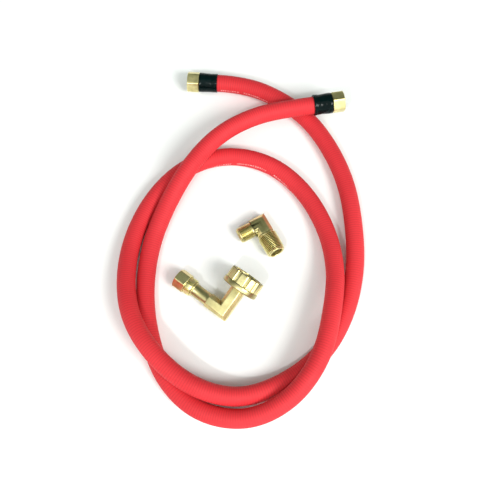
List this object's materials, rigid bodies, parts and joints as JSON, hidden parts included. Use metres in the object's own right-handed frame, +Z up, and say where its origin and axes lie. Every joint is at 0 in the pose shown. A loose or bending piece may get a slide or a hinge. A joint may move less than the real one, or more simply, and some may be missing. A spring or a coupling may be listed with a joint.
{
  "type": "water supply hose",
  "caption": "Coiled red rubber water supply hose with brass swivel nuts and black sleeves, and two loose brass elbow fittings.",
  "frame": {"origin": "middle of the whole set's box, on the floor it lies on", "axes": "+Y along the longer way across the coiled hose, towards its two ends; +Z up from the floor"},
  "size_m": [0.2144, 0.3335, 0.0346],
  "materials": {
    "red_rubber": "matt, with fine rings left by the cloth it was cured in",
    "braid": "woven textile",
    "liner_rubber": "smooth",
    "black_sleeve": "glossy shrink tube",
    "brass": "machined",
    "forged_brass": "forged and tumbled",
    "washer_rubber": "matt"
  },
  "bodies": {
    "hose": {"hose_liner": "liner_rubber", "hose_braid": "braid", "hose_cover": "red_rubber", "stem_a": "brass", "ferrule_a": "brass", "sleeve_a": "black_sleeve", "washer_a": "washer_rubber", "stem_b": "brass", "ferrule_b": "brass", "sleeve_b": "black_sleeve", "washer_b": "washer_rubber"},
    "swivel_a": {"swivel_nut_a": "brass"},
    "swivel_b": {"swivel_nut_b": "brass"},
    "large_elbow": {"large_elbow_body": "forged_brass", "hose_thread_retainer": "brass", "hose_thread_washer": "washer_rubber"},
    "hose_thread_swivel": {"hose_thread_nut": "brass"},
    "compression_ring": {"compression_sleeve": "brass"},
    "compression_cap": {"compression_nut": "brass"},
    "small_elbow": {"small_elbow_body": "forged_brass"}
  },
  "joints": [
    {"name": "swivel_a_spin", "type": "hinge", "parent": "hose", "child": "swivel_a", "pos_m": [-0.04, 0.156, 0.0102], "axis": [-0.9976, 0.0698, 0], "continuous": true},
    {"name": "swivel_b_spin", "type": "hinge", "parent": "hose", "child": "swivel_b", "pos_m": [0.081, 0.124, 0.025], "axis": [0.9877, 0.1564, 0], "continuous": true},
    {"name": "large_elbow_lift", "type": "slide", "parent": "hose", "child": "large_elbow", "axis": [0, 0, 1], "range_m": [0, 0.15]},
    {"name": "hose_thread_spin", "type": "hinge", "parent": "large_elbow", "child": "hose_thread_swivel", "pos_m": [-0.0155, -0.0689, 0.00794], "axis": [0.5722, 0.7558, 0.3185], "continuous": true},
    {"name": "compression_advance", "type": "slide", "parent": "large_elbow", "child": "compression_ring", "axis": [-0.7986, 0.6018, 0.0066], "range_m": [0, 0.00529]},
    {"name": "compression_turn", "type": "hinge", "parent": "compression_ring", "child": "compression_cap", "pos_m": [-0.0155, -0.0689, 0.00794], "axis": [-0.7986, 0.6018, 0.0066], "range_deg": [0, 1800]},
    {"name": "small_elbow_lift", "type": "slide", "parent": "hose", "child": "small_elbow", "axis": [0, 0, 1], "range_m": [0, 0.15]}
  ],
  "couplings": [
    {"joint": "compression_turn", "follows": "compression_advance", "rad_per_m": 5938.7}
  ]
}
